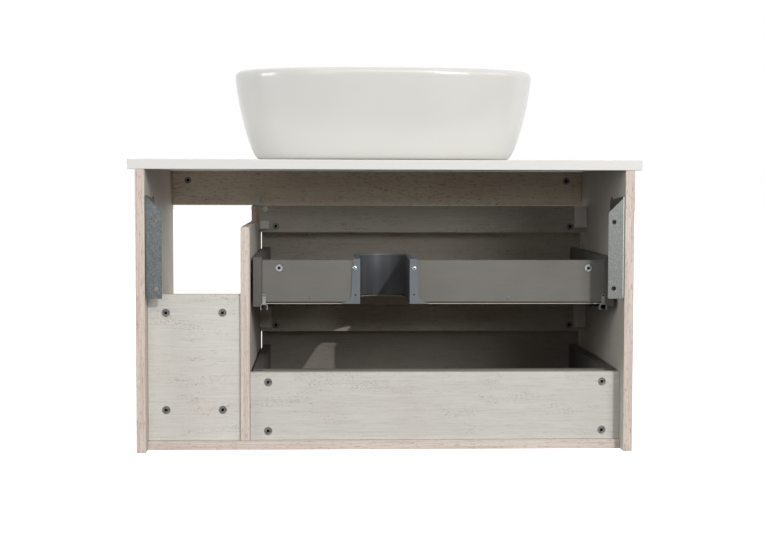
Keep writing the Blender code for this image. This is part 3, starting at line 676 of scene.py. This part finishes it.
# cam radius and length by finish
CAMS = {"cam_dark": (0.0063, 0.0112), "cam_bright": (0.0060, 0.0092)}
CROSS_TAPER = 0.55
CUT_START = 0.0005
SCREW_SIDES = 28
SHANK_LENGTH = 0.0030
HEAD_FOOT = -0.0002


def cross_outline(arm, slot):
    """Cross with arms on the diagonals."""
    flat = ((-arm, -slot), (-slot, -slot), (-slot, -arm), (slot, -arm), (slot, -slot), (arm, -slot),
            (arm, slot), (slot, slot), (slot, arm), (-slot, arm), (-slot, slot), (-arm, slot))
    return [((u - w) * math.sqrt(0.5), (u + w) * math.sqrt(0.5)) for u, w in flat]


def cross_cutter(arm, slot, depth):
    """Cross recess that narrows towards its floor."""
    return cutter(cross_outline(arm, slot), lambda p, end: (p[0] * (CROSS_TAPER if end else 1.0),
                                                            -depth if end else CUT_START,
                                                            p[1] * (CROSS_TAPER if end else 1.0)))


def cam_master(finish):
    """Eccentric cam: cup with a sunken face, raised boss, cross recess and a closing mark."""
    radius, length = CAMS[finish]
    boss = radius * 0.60
    profile = ((0.0, -length), (radius - 0.0006, -length), (radius - 0.0001, -length + 0.0006),
               (radius - 0.0001, -0.0014), (radius, -0.0010), (radius, -0.0003), (radius - 0.0003, 0.0),
               (radius - 0.0011, 0.0), (radius - 0.0014, -0.0004), (radius - 0.0016, -0.0012),
               (boss, -0.0012), (boss - 0.0002, -0.0003), (boss - 0.0005, -0.0001), (0.0, -0.0001))
    bm = bmesh.new()
    revolve(bm, profile, lambda u, w, t: (u, t, w), CAM_SIDES)
    obj = from_bmesh(finish + "_master", bm, FINISH[finish], 30)
    mark = cutter(CAM_MARK, lambda p, end: (p[0], -CAM_MARK_DEPTH if end else CAM_MARK_START, p[1]))
    carve(obj, [cross_cutter(CAM_CROSS_ARM, CAM_CROSS_SLOT, CAM_CROSS_DEPTH), mark])

    def is_deep(face):
        at = face.center
        within = math.hypot(at.x, at.z) < CAM_CROSS_ARM * 1.02
        return within and -CAM_CROSS_DEPTH - 0.0002 < at.y < -0.0003

    # painted shade: the walls and floor of the cross recess are nearly black
    shade_deep_faces(obj, is_deep)
    return obj


def screw_master(radius, finish="screw"):
    """Pan-head screw with a short shank and a cross recess."""
    rise = radius * 0.42
    shank = radius * 0.45
    turns = [math.radians(t) for t in range(0, 81, 8)]
    profile = [(0.0, -SHANK_LENGTH), (shank, -SHANK_LENGTH), (shank, HEAD_FOOT), (radius, HEAD_FOOT)]
    profile += [(radius * math.cos(t), rise * math.sin(t)) for t in turns] + [(0.0, rise)]
    bm = bmesh.new()
    revolve(bm, profile, lambda u, w, t: (u, t, w), SCREW_SIDES)
    obj = from_bmesh("screw_master", bm, FINISH[finish], 40)
    recess = cross_cutter(radius * 0.52, radius * 0.17, radius * 0.60)
    recess.location.y = rise
    bpy.context.view_layer.update()
    return carve(obj, [recess])


def instance(master, name, place, turn=0.0):
    """Copy of a master, turned about Z."""
    obj = link_object(name, master.data)
    obj.location = place
    obj.rotation_euler.z = turn
    return obj


def make_cams():
    masters = {finish: cam_master(finish) for finish in CAMS}
    for node in sorted(n for n in NODES if n.startswith("cam_")):
        centre, half, high = measures(node)
        tone = "bright" if "drawer" in node else "dark"
        obj = instance(masters["cam_" + tone], "detailed_" + node, (centre.x, high.y, centre.z))
        finish_piece(obj, body_of(node), tone + "_zinc", node)
    for master in masters.values():
        discard(master)


# ---------------------------------------------------------------- siphon liner
LINER_HALF = 0.0405
LINER_WALL = 0.002
LINER_LIP = 0.008
LINER_STEPS = 48
LINER_SHELL_INSET = 0.001
FLANGE_REACH = 0.0125
FLANGE_FLARE = 0.015
FLANGE_SWELL = 0.0022
FLANGE_FOOT_DROP = 0.0012
FLANGE_SHEET = 0.0021
LINER_HOLE_R = 0.0014
LINER_HOLE_DEPTH = 0.0012
LINER_SCREW_R = 0.0036
# side, distance outside the well's wall, drop below the top
LINER_HOLES = ((1, 0.0080, 0.0596), (-1, 0.0072, 0.0593))
LINER_SCREWS = (("right", 1, 0.0090, 0.0152), ("left", -1, 0.0079, 0.0160))


def liner_shell(bm, centre_x, low, high):
    """U-shaped wall with a rolled lip along its top, open to the rear."""
    reach = low.y + LINER_LIP + LINER_WALL + LINER_HALF
    rear = high.y - LINER_SHELL_INSET
    top = high.z
    foot = low.z
    under = top - LINER_WALL
    # from the foot outside, over the lip, down inside: offset from the well and height
    section = ((LINER_WALL, foot), (LINER_WALL, under - 0.001), (LINER_WALL + 0.001, under),
               (LINER_LIP - 0.0012, under), (LINER_LIP - 0.0003, under - 0.0004), (LINER_LIP, top - 0.0010),
               (LINER_LIP - 0.0004, top - 0.0003), (LINER_LIP - 0.0012, top), (0.0016, top),
               (0.0006, top - 0.0005), (0.0001, top - 0.0014), (0.0, top - 0.0025), (0.0, foot))
    turns = [math.pi * i / LINER_STEPS for i in range(LINER_STEPS + 1)]
    rows = []
    for offset, z in section:
        radius = LINER_HALF + offset
        outline = [(radius, rear)] + [(radius * math.cos(t), reach - radius * math.sin(t)) for t in turns]
        outline.append((-radius, rear))
        rows.append([bm.verts.new((centre_x + x, y, z)) for x, y in outline])
    rows.append(rows[0])
    for one, two in zip(rows, rows[1:]):
        for i in range(len(one) - 1):
            bm.faces.new([one[i], one[i + 1], two[i + 1], two[i]])


def flange_outline(top, foot):
    """Flange on the drawer back: straight above, sweeping out at its foot."""
    inner = LINER_HALF + 0.0002
    edge = LINER_HALF + FLANGE_REACH
    swell = edge + FLANGE_SWELL
    base = foot - FLANGE_FOOT_DROP
    outline = [(inner, top - 0.0003), (edge - 0.0030, top - 0.0003), (edge - 0.0008, top - 0.0012),
               (edge, top - 0.0036), (edge + 0.0012, top - 0.030),
               (swell, base + FLANGE_SWELL + FLANGE_FLARE)]
    for turn in (math.radians(t) for t in range(10, 91, 10)):
        outline.append((swell + FLANGE_FLARE * (1 - math.cos(turn)),
                        base + FLANGE_SWELL + FLANGE_FLARE * (1 - math.sin(turn))))
    return outline + [(swell + FLANGE_FLARE, base), (inner, base)]


def make_liner():
    low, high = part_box("upper_drawer_recess")
    centre_x = (low.x + high.x) / 2
    rear = high.y
    top = high.z
    bm = bmesh.new()
    liner_shell(bm, centre_x, low, high)
    for side in (1, -1):
        prism(bm, flange_outline(top, low.z),
              lambda p, end: (centre_x + side * p[0], rear - (FLANGE_SHEET if end else 0.0), p[1]))
    obj = from_bmesh("siphon_liner", bm, FINISH["liner"], 40)
    holes = [(centre_x + side * (LINER_HALF + out), top - drop) for side, out, drop in LINER_HOLES]
    carve(obj, [cutter(ring_points(LINER_HOLE_R, 16),
                       lambda p, end: (x + p[0], rear + (0.001 if end else -LINER_HOLE_DEPTH), z + p[1]))
                for x, z in holes])

    def is_deep(face):
        at = face.center
        in_hole = any(math.hypot(at.x - x, at.z - z) < LINER_HOLE_R + 0.0001 for x, z in holes)
        return in_hole and rear - LINER_HOLE_DEPTH - 0.0001 < at.y < rear - 0.0001

    # painted shade: the walls and floor of the holes are nearly black
    shade_deep_faces(obj, is_deep)
    soften(obj.data, 40)
    finish_piece(obj, body_of("upper_drawer_recess"), "recess_plastic", "upper_drawer_recess")
    screw = screw_master(LINER_SCREW_R)
    for name, side, out, drop in LINER_SCREWS:
        place = (centre_x + side * (LINER_HALF + out), rear + 0.0002, top - drop)
        finish_piece(instance(screw, "liner_screw_" + name, place), "upper_drawer", "bright_zinc")
    discard(screw)


# ---------------------------------------------------------------- wall brackets
BRACKET_SHEET = 0.002
BRACKET_BEND = 0.0032
BRACKET_LEAF = 0.0268
BRACKET_HOLE_R = 0.0035
# across the leaf from the panel, drop below the bracket's top
BRACKET_HOLES = ((0.0175, 0.0418), (0.0175, 0.1490))
BRACKET_SCREW_HOLE_R = 0.0024
BRACKET_SCREW_R = 0.0042
# forward from the wall plane, drop below the bracket's top
BRACKET_SCREWS = ((0.112, 0.0340), (0.112, 0.1290), (0.030, 0.0790))
FLANK_SHORTER = 0.0070
FLANK_CORNER = 0.012


def flat_plate(name, outline, holes, radius, place, finish):
    """A sheet with holes; place(u, w, t) maps plate coordinates to space."""
    faces = (0.0, BRACKET_SHEET)
    cut_ends = (-0.002, BRACKET_SHEET + 0.002)
    obj = extruded(name, outline, lambda p, end: place(p[0], p[1], faces[end]), FINISH[finish])
    tools = [cutter(ring_points(radius, 20), lambda p, end: place(u + p[0], w + p[1], cut_ends[end]))
             for u, w in holes]
    return carve(obj, tools)


def bend_outline():
    """Quarter ring between the two leaves."""
    turns = [math.radians(t) for t in range(0, 91, 10)]
    arcs = [[(BRACKET_BEND - radius * math.cos(t), BRACKET_BEND - radius * math.sin(t)) for t in turns]
            for radius in (BRACKET_BEND, BRACKET_BEND - BRACKET_SHEET)]
    return arcs[0] + arcs[1][::-1]


def make_bracket(side, turn):
    """Bent steel angle: hole leaf in the wall plane, screwed leaf on the side panel."""
    node = "bracket_" + side
    low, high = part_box(node)
    panel = low.x if turn > 0 else high.x
    depth = high.y - low.y
    height = high.z - low.z

    def rear(u, w, t):
        return (panel + turn * u, high.y - t, high.z - w)

    def flank(u, w, t):
        return (panel + turn * t, high.y - u, high.z - w)

    leaf = BRACKET_LEAF
    rear_outline = [(BRACKET_BEND, BRACKET_BEND), (leaf - 0.0008, leaf - 0.0008), (leaf, leaf + 0.0006),
                    (leaf, height - 0.0018), (leaf - 0.0005, height - 0.0005), (leaf - 0.0018, height),
                    (BRACKET_BEND, height)]
    foot = height - FLANK_SHORTER
    corners = ((depth - FLANK_CORNER, 0.0), (depth, FLANK_CORNER), (depth, foot - FLANK_CORNER),
               (depth - FLANK_CORNER, foot))
    flank_outline = [(BRACKET_BEND, 0.0)] + corner_cut(corners, 0.004) + [(BRACKET_BEND, foot)]
    leaf_finish = "bracket" if turn > 0 else "bracket_dull"
    # the left bracket's bend takes a painted highlight; the flank leaves and the right bracket's bend take
    # painted shade
    bend_painted_light = "bracket_bend" if turn > 0 else "bracket_flank"
    bend_ends = (0.001, height - 0.0006)
    parts = [flat_plate(node + "_rear", rear_outline, BRACKET_HOLES, BRACKET_HOLE_R, rear, leaf_finish),
             flat_plate(node + "_flank", flank_outline, BRACKET_SCREWS, BRACKET_SCREW_HOLE_R, flank,
                        "bracket_flank"),
             extruded(node + "_bend", bend_outline(), lambda p, end: rear(p[0], bend_ends[end], p[1]),
                      FINISH[bend_painted_light])]
    obj = join_objects("detailed_" + node, parts)
    bevel(obj, 0.00025, 1, 50)
    finish_piece(obj, CARCASS, "galvanised_steel", node)
    screw = screw_master(BRACKET_SCREW_R)
    for i, (u, w) in enumerate(BRACKET_SCREWS):
        place = flank(u, w, BRACKET_SHEET + 0.0001)
        piece = instance(screw, node + "_screw_" + str(i), place, -turn * math.pi / 2)
        finish_piece(piece, CARCASS, "bright_zinc")
    discard(screw)


# ---------------------------------------------------------------- runners
CHANNEL_SHEET = 0.0012
CHANNEL_LIP = 0.0030
CHANNEL_RISE = 0.0095
CHANNEL_SKIN = 0.0005
HOOK_HALF = 0.0026
HOOK_SHEET = 0.0012
HOOK_ABOVE = 0.0012
HOOK_CORNER = 0.0014
HOOK_HOLE_R = 0.0013
HOOK_HOLE_DROP = 0.0024
HOOK_HOLE_REACH = 0.0024
HOOK_HOLE_DEPTH = 0.0010
RIB_HALF = HOOK_HALF * 0.9
RIB_DROPS = (0.0040, 0.0052)
RIB_PROUD = 0.0009
CLIP_GAP = 0.0008
CLIP_ABOVE = 0.0018
CLIP_HEIGHT = 0.0062
CLIP_ENDS = (0.006, 0.052)
# how far each clip reaches towards the middle of the drawer
CLIP_REACH = {"left": 0.0250, "right": 0.0110}


def channel_section(half, low, high):
    """Upside-down channel of rolled sheet: round shoulders and lips curled back inside."""
    sheet = CHANNEL_SHEET
    lip = CHANNEL_LIP
    outer = corner_cut([(-half + lip, low), (-half, low), (-half, high), (half, high), (half, low),
                        (half - lip, low)], 0.0026, 5)
    floor, roof, wall = low + sheet, high - sheet, half - sheet
    inner = corner_cut([(half - lip, floor), (wall, floor), (wall, roof), (-wall, roof), (-wall, floor),
                        (-half + lip, floor)], 0.0016, 5)
    # the rounding of the two free ends is left out
    return outer[6:-6] + inner[6:-6]


def channel_rail(name, low, high, crown):
    """The channel; its inside is painted nearly black, as shade."""
    centre = (low.x + high.x) / 2
    half = (high.x - low.x) / 2
    ends = (high.y, low.y)
    section = channel_section(half, low.z, crown)
    rail = extruded(name, section, lambda p, end: (centre + p[0], ends[end], p[1]), FINISH["runner"])

    def is_deep(face):
        inside_x = abs(face.center.x - centre) < half - CHANNEL_SKIN
        inside_z = low.z + CHANNEL_SKIN < face.center.z < crown - CHANNEL_SKIN
        return inside_x and inside_z and abs(face.normal.y) < 0.5

    shade_deep_faces(rail, is_deep)
    return rail


def channel_hook(name, centre, rear, tip, foot):
    """Upright tongue at the rear end, with a blind slot whose walls and floor are painted nearly black, as
    shade.
    """
    half = HOOK_HALF
    outline = [(-half, foot), (-half, tip - HOOK_CORNER), (-half + 0.0005, tip - 0.0005),
               (-half + HOOK_CORNER, tip), (half - HOOK_CORNER, tip), (half - 0.0005, tip - 0.0005),
               (half, tip - HOOK_CORNER), (half, foot)]
    hook = extruded(name, outline, lambda p, end: (centre + p[0], rear - HOOK_SHEET * end, p[1]),
                    FINISH["runner"])
    slot = [(x * 1.5, z * 0.85) for x, z in ring_points(HOOK_HOLE_R, 20)]
    middle = tip - HOOK_HOLE_DROP
    carve(hook, [cutter(slot, lambda p, end: (centre + p[0], rear + (0.001 if end else -HOOK_HOLE_DEPTH),
                                              middle + p[1]))])

    def is_deep(face):
        at = face.center
        within = math.hypot(at.x - centre, at.z - middle) < HOOK_HOLE_REACH
        return within and rear - HOOK_HOLE_DEPTH - 0.0001 < at.y < rear - 0.0001

    shade_deep_faces(hook, is_deep)
    return hook


def make_channel(prefix, side, turn):
    """Member under the drawer, with its rear hook and the black locking clip beside it."""
    node = prefix + "_runner_" + side + "_drawer"
    low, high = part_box(node)
    centre = (low.x + high.x) / 2
    crown = low.z + CHANNEL_RISE
    tip = high.z + HOOK_ABOVE
    rib_top, rib_foot = (tip - drop for drop in RIB_DROPS)
    rib = ((-RIB_HALF, rib_foot), (-RIB_HALF, rib_top), (RIB_HALF, rib_top), (RIB_HALF, rib_foot))
    parts = [channel_rail(node + "_rail", low, high, crown),
             channel_hook(node + "_hook", centre, high.y, tip, crown - 0.0006),
             # the rib takes the bright screw finish: a painted highlight on the pressed rib
             extruded(node + "_rib", rib, lambda p, end: (centre + p[0], high.y + RIB_PROUD * end, p[1]),
                      FINISH["screw"])]
    finish_piece(join_objects("detailed_" + node, parts), body_of(node), "galvanised_steel", node)
    reach = CLIP_REACH[side]
    start = (high.x - low.x) / 2 + CLIP_GAP
    top = crown + CLIP_ABOVE
    outline = corner_cut([(start, top), (start, top - CLIP_HEIGHT), (start + reach * 0.62, top - CLIP_HEIGHT),
                          (start + reach, top - 0.0026), (start + reach, top)], 0.0012, 3)
    clip = extruded(prefix + "_clip_" + side, outline,
                    lambda p, end: (centre + turn * p[0], high.y - CLIP_ENDS[end], p[1]),
                    FINISH["clip"])
    bevel(clip, 0.0004, 2)
    finish_piece(clip, body_of(node), "grey_plastic")


# ---------------------------------------------------------------- small extra pieces
BOTTOM_SCREW_R = 0.0021
BOTTOM_SCREW_RISE = 0.0064
CAP_INSET = 0.0107
CAP_DROP = 0.0072
CAP_PROFILE = ((0.0, -0.0008), (0.0050, -0.0008), (0.0050, 0.0004), (0.0047, 0.0008), (0.0040, 0.0010),
               (0.0, 0.0011))


def make_bottom_screws():
    """Screws that hold the upper drawer's bottom, one in each half of its back."""
    screw = screw_master(BOTTOM_SCREW_R, "screw_dull")
    for side in ("left", "right"):
        low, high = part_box("upper_drawer_back_" + side)
        place = ((low.x + high.x) / 2, high.y + 0.0001, low.z + BOTTOM_SCREW_RISE)
        finish_piece(instance(screw, "bottom_screw_" + side, place), "upper_drawer", "bright_zinc")
    discard(screw)


def make_cover_cap():
    """Cap over a spare hole in the upper cross rail."""
    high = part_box("upper_cross_rail")[1]
    bm = bmesh.new()
    revolve(bm, CAP_PROFILE, lambda u, w, t: (high.x - CAP_INSET + u, high.y + t, high.z - CAP_DROP + w), 32)
    finish_piece(from_bmesh("rail_cover_cap", bm, FINISH["block"], 30), CARCASS, "grey_plastic")


# ---------------------------------------------------------------- camera, light, floor
CAMERA_PLACE = (0.092379, 2.652571, 0.442397)
# yaw, pitch and roll of the rear view, from looking straight along -Y
CAMERA_TURN = (0.04100743, 0.05488154, -0.00289842)
LENS_MM = 71.307981
SENSOR_MM = 36.0
CAMERA_SHIFT = (-0.01079856, -0.01498889)

SUN_POWER = 0.90
SUN_ANGLE = 0.9
SUN_COLOR = (1.0, 0.98, 0.95)
SUN_DIRECTION = (0.33, -1.0, -0.50)
LIGHT_TARGET = (0.0, 0.15, 0.33)
# name, place, size, power
SOFT_LIGHTS = (
    ("soft_right", (-1.7, 3.2, 1.4), (1.2, 1.2), 42),
    ("soft_far_right", (-3.0, 1.4, 1.6), (1.4, 1.4), 18),
    ("soft_left", (3.4, 1.3, 1.0), (1.2, 1.2), 34),
    ("soft_near_left", (1.4, 3.4, 1.2), (1.2, 1.2), 9),
    ("soft_high", (0.0, 2.9, 2.6), (3.0, 1.4), 30),
    ("soft_top", (0.0, 0.9, 3.4), (3.0, 1.6), 6),
)
# strength of the light from the white backdrop, from below and from the rest of the room
BACKDROP, GROUND, ROOM = 0.96, 0.23, 0.02
# axis, and where along it the light starts and is full
BACKDROP_SPAN = (Y, 0.10, -0.25)
GROUND_SPAN = (Z, 0.05, -0.30)
WHITE = (1, 1, 1, 1)
FLOOR_DROP = 0.9
FLOOR_HALF = 60.0
FLOOR_GLOW = 0.95


def make_camera():
    yaw, pitch, roll = CAMERA_TURN
    forward = Vector((math.sin(yaw) * math.cos(pitch), math.cos(yaw) * math.cos(pitch), -math.sin(pitch)))
    level = Vector((math.cos(yaw), -math.sin(yaw), 0.0))
    plumb = forward.cross(level)
    right = math.cos(roll) * level + math.sin(roll) * plumb
    down = math.cos(roll) * plumb - math.sin(roll) * level
    facing_rear = Matrix.Rotation(math.pi, 3, "Z")
    matrix = (facing_rear @ Matrix((right, -down, -forward)).transposed()).to_4x4()
    matrix.translation = Vector(CAMERA_PLACE)
    data = bpy.data.cameras.new("camera")
    data.sensor_width = SENSOR_MM
    data.lens = LENS_MM
    data.shift_x, data.shift_y = CAMERA_SHIFT
    data.clip_start = 0.05
    data.clip_end = 200
    obj = link_object("camera", data)
    obj.matrix_world = matrix
    bpy.context.scene.camera = obj


def make_lights():
    key = bpy.data.lights.new("key", "SUN")
    key.energy = SUN_POWER
    key.angle = math.radians(SUN_ANGLE)
    key.color = SUN_COLOR
    link_object("key", key).rotation_euler = Vector(SUN_DIRECTION).to_track_quat("-Z", "Y").to_euler()
    for name, place, size, power in SOFT_LIGHTS:
        data = bpy.data.lights.new(name, "AREA")
        data.shape = "RECTANGLE"
        data.size, data.size_y = size
        data.energy = power
        obj = link_object(name, data)
        obj.location = place
        obj.rotation_euler = (Vector(LIGHT_TARGET) - Vector(place)).to_track_quat("-Z", "Y").to_euler()


def make_world():
    """White to the camera; for light, bright behind the object, weaker from below, dim elsewhere."""
    world = bpy.data.worlds.new("studio")
    world.use_nodes = True
    bpy.context.scene.world = world
    tree = world.node_tree
    direction = add_node(tree, "ShaderNodeTexCoord", {}).outputs["Generated"]
    split = add_node(tree, "ShaderNodeSeparateXYZ", {0: direction})
    strength = ROOM
    for (axis, start, full), most in ((BACKDROP_SPAN, BACKDROP), (GROUND_SPAN, GROUND)):
        span = {"Value": split.outputs[axis], "From Min": start, "From Max": full,
                "To Min": 0.0, "To Max": most}
        part = add_node(tree, "ShaderNodeMapRange", span, interpolation_type="SMOOTHSTEP")
        joined = add_node(tree, "ShaderNodeMath", {0: part.outputs[0], 1: strength}, operation="MAXIMUM")
        strength = joined.outputs[0]
    camera_ray = add_node(tree, "ShaderNodeLightPath", {}).outputs["Is Camera Ray"]
    seen = add_node(tree, "ShaderNodeMix", {0: camera_ray, 2: strength, 3: 1.0}, data_type="FLOAT")
    background = tree.nodes["Background"]
    put(tree, background.inputs["Color"], WHITE)
    put(tree, background.inputs["Strength"], seen.outputs[0])


def make_floor():
    """Plain pale floor that lights nothing."""
    bm = bmesh.new()
    corners = ((-1, -1), (1, -1), (1, 1), (-1, 1))
    bm.faces.new([bm.verts.new((x * FLOOR_HALF, y * FLOOR_HALF, -FLOOR_DROP)) for x, y in corners])
    g = Graph("floor_finish", roughness=0.8, specular=0.1)
    cloud = g.noise(g.at((0.6, 0.6, 0.6)), 2.0, 0.5)
    g.shader.inputs["Emission Color"].default_value = WHITE
    g.shader.inputs["Emission Strength"].default_value = FLOOR_GLOW
    floor = from_bmesh("floor", bm, g.done(g.mix(cloud, lin(238, 238, 237), lin(244, 244, 243))))
    floor.visible_diffuse = False
    floor.visible_glossy = False


def main():
    settings = bpy.context.scene.view_settings
    settings.view_transform = "Standard"
    settings.look = "None"
    make_camera()
    make_lights()
    make_world()
    make_floor()
    paint_nodes()
    make_basin()
    make_seal()
    make_cams()
    make_liner()
    make_bracket("left", 1)
    make_bracket("right", -1)
    for prefix in ("upper_drawer", "lower_drawer"):
        make_channel(prefix, "left", 1)
        make_channel(prefix, "right", -1)
    make_bottom_screws()
    make_cover_cap()


main()
